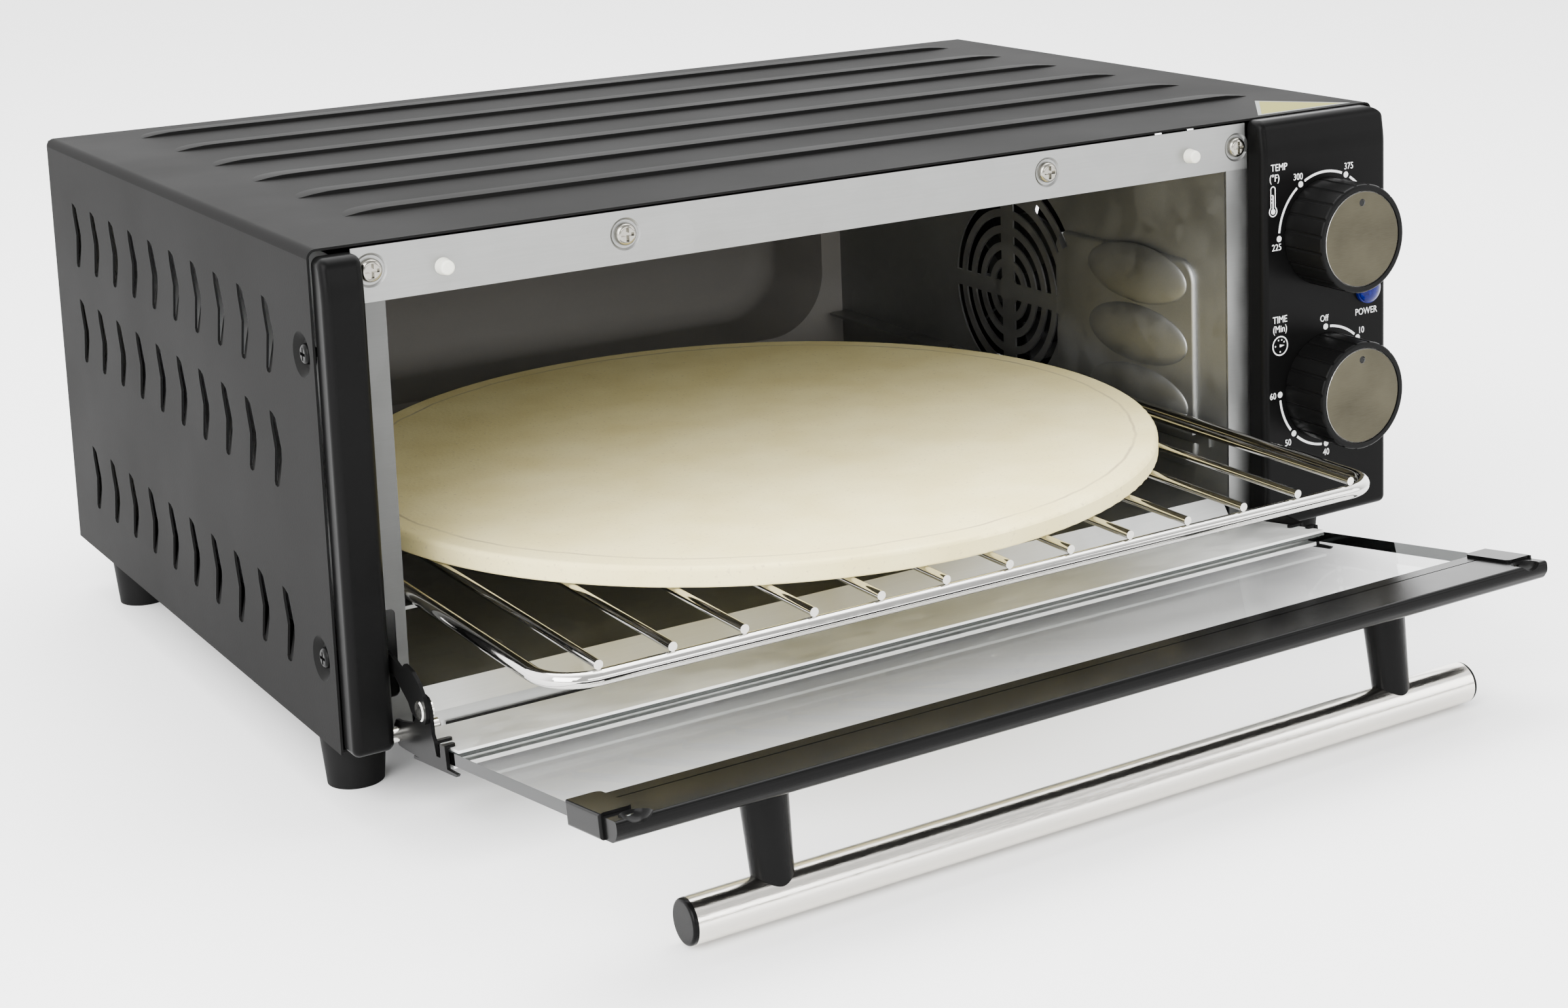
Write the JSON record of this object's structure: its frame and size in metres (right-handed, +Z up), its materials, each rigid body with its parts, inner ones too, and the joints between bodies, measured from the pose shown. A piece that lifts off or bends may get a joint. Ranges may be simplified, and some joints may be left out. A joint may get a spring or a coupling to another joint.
{
  "type": "countertop pizza oven",
  "caption": "Low black countertop oven with its glass door swung down, a wire rack carrying a round baking stone, and a side panel with two dial knobs.",
  "frame": {"origin": "centre of the whole bounding box at counter level, with the door open", "axes": "+X to the oven's right as seen from its front, -Y out of the front, +Z up"},
  "size_m": [0.437, 0.5022, 0.1861],
  "materials": {
    "cabinet_black": "satin, fine texture",
    "rear_sheet": "black outside, dull grey inside",
    "trim_black": "satin",
    "rubber_black": "matt",
    "screw_black": "satin",
    "zinc_sheet": "galvanised, satin",
    "screw_bright": "bright zinc",
    "silicone": "translucent matt",
    "cavity_dark": "satin, non-stick",
    "heater_steel": "heat-tinted",
    "ceramic_white": "matt ceramic",
    "control_case": "matt",
    "lamp_blue": "gloss",
    "motor_steel": "zinc plated",
    "fan_aluminium": "satin",
    "knob_black": "satin",
    "knob_steel": "brushed",
    "door_glass": "clear, polished",
    "door_bright": "satin",
    "door_black": "satin",
    "handle_steel": "brushed",
    "handle_black": "satin",
    "hinge_black": "satin",
    "hinge_bright": "bright",
    "rack_chrome": "polished",
    "stone_cream": "matt ceramic stone"
  },
  "bodies": {
    "oven": {"cover_top": "cabinet_black", "cover_left": "cabinet_black", "cover_right": "cabinet_black", "bottom_pan": "cabinet_black", "rear_panel": "rear_sheet", "rear_bulge": "rear_sheet", "left_trim": "trim_black", "control_panel": "trim_black", "cord_gland": "trim_black", "feet": "rubber_black", "sill_bead": "rubber_black", "foot_screws": "screw_black", "side_screws": "screw_black", "rear_screws": "screw_black", "front_rail": "zinc_sheet", "jamb_left": "zinc_sheet", "jamb_right": "zinc_sheet", "sill": "zinc_sheet", "rail_screws": "screw_bright", "bumpers": "silicone", "cavity_left": "cavity_dark", "cavity_right": "cavity_dark", "cavity_roof": "cavity_dark", "crumb_tray": "cavity_dark", "rack_ledges": "cavity_dark", "heating_rods_upper": "heater_steel", "heating_rods_lower": "heater_steel", "element_bushes": "ceramic_white", "thermostat": "control_case", "timer": "control_case", "lamp_lens": "lamp_blue", "fan_motor": "motor_steel"},
    "door": {"door_glass": "door_glass", "door_channel": "door_bright", "door_rail": "door_black", "door_corner_left": "door_black", "door_corner_right": "door_black", "handle_tube": "handle_steel", "handle_caps": "handle_black", "handle_posts": "handle_black", "hinge_bracket_left": "hinge_black", "hinge_bracket_right": "hinge_black", "hinge_pin_left": "hinge_bright", "hinge_pin_right": "hinge_bright", "link_rivet": "hinge_bright"},
    "arm": {"link_arm": "hinge_black"},
    "rack": {"rack_frame": "rack_chrome", "rack_wires": "rack_chrome"},
    "stone": {"pizza_stone": "stone_cream"},
    "temp_dial": {"temp_knob": "knob_black", "temp_knob_cap": "knob_steel", "temp_shaft": "motor_steel"},
    "timer_dial": {"timer_knob": "knob_black", "timer_knob_cap": "knob_steel", "timer_shaft": "motor_steel"},
    "fan": {"fan_wheel": "fan_aluminium", "fan_shaft": "motor_steel"}
  },
  "joints": [
    {"name": "door_hinge", "type": "hinge", "parent": "oven", "child": "door", "pos_m": [0, -0.09737, 0.0268], "axis": [-1, 0, 0], "range_deg": [0, 81.6]},
    {"name": "rack_slide", "type": "slide", "parent": "oven", "child": "rack", "axis": [0, 1, 0], "range_m": [0, 0.1192]},
    {"name": "stone_lift", "type": "slide", "parent": "rack", "child": "stone", "axis": [0, 0, 1], "range_m": [0, 0.06]},
    {"name": "arm_pivot", "type": "hinge", "parent": "door", "child": "arm", "pos_m": [-0.2017, -0.11986, 0.04154], "axis": [-1, 0, 0], "range_deg": [-82, 0]},
    {"name": "temp_turn", "type": "hinge", "parent": "oven", "child": "temp_dial", "pos_m": [0.1863, -0.11187, 0.1381], "axis": [0, 1, 0], "range_deg": [-90, 86]},
    {"name": "timer_turn", "type": "hinge", "parent": "oven", "child": "timer_dial", "pos_m": [0.1863, -0.11187, 0.0764], "axis": [0, 1, 0], "range_deg": [0, 270]},
    {"name": "fan_spin", "type": "hinge", "parent": "oven", "child": "fan", "pos_m": [0.155, 0.05713, 0.094], "axis": [1, 0, 0], "continuous": true}
  ],
  "couplings": [
    {"joint": "rack_slide", "follows": "door_hinge", "m_per_rad": 0.08355},
    {"joint": "arm_pivot", "follows": "door_hinge", "ratio": -1}
  ]
}
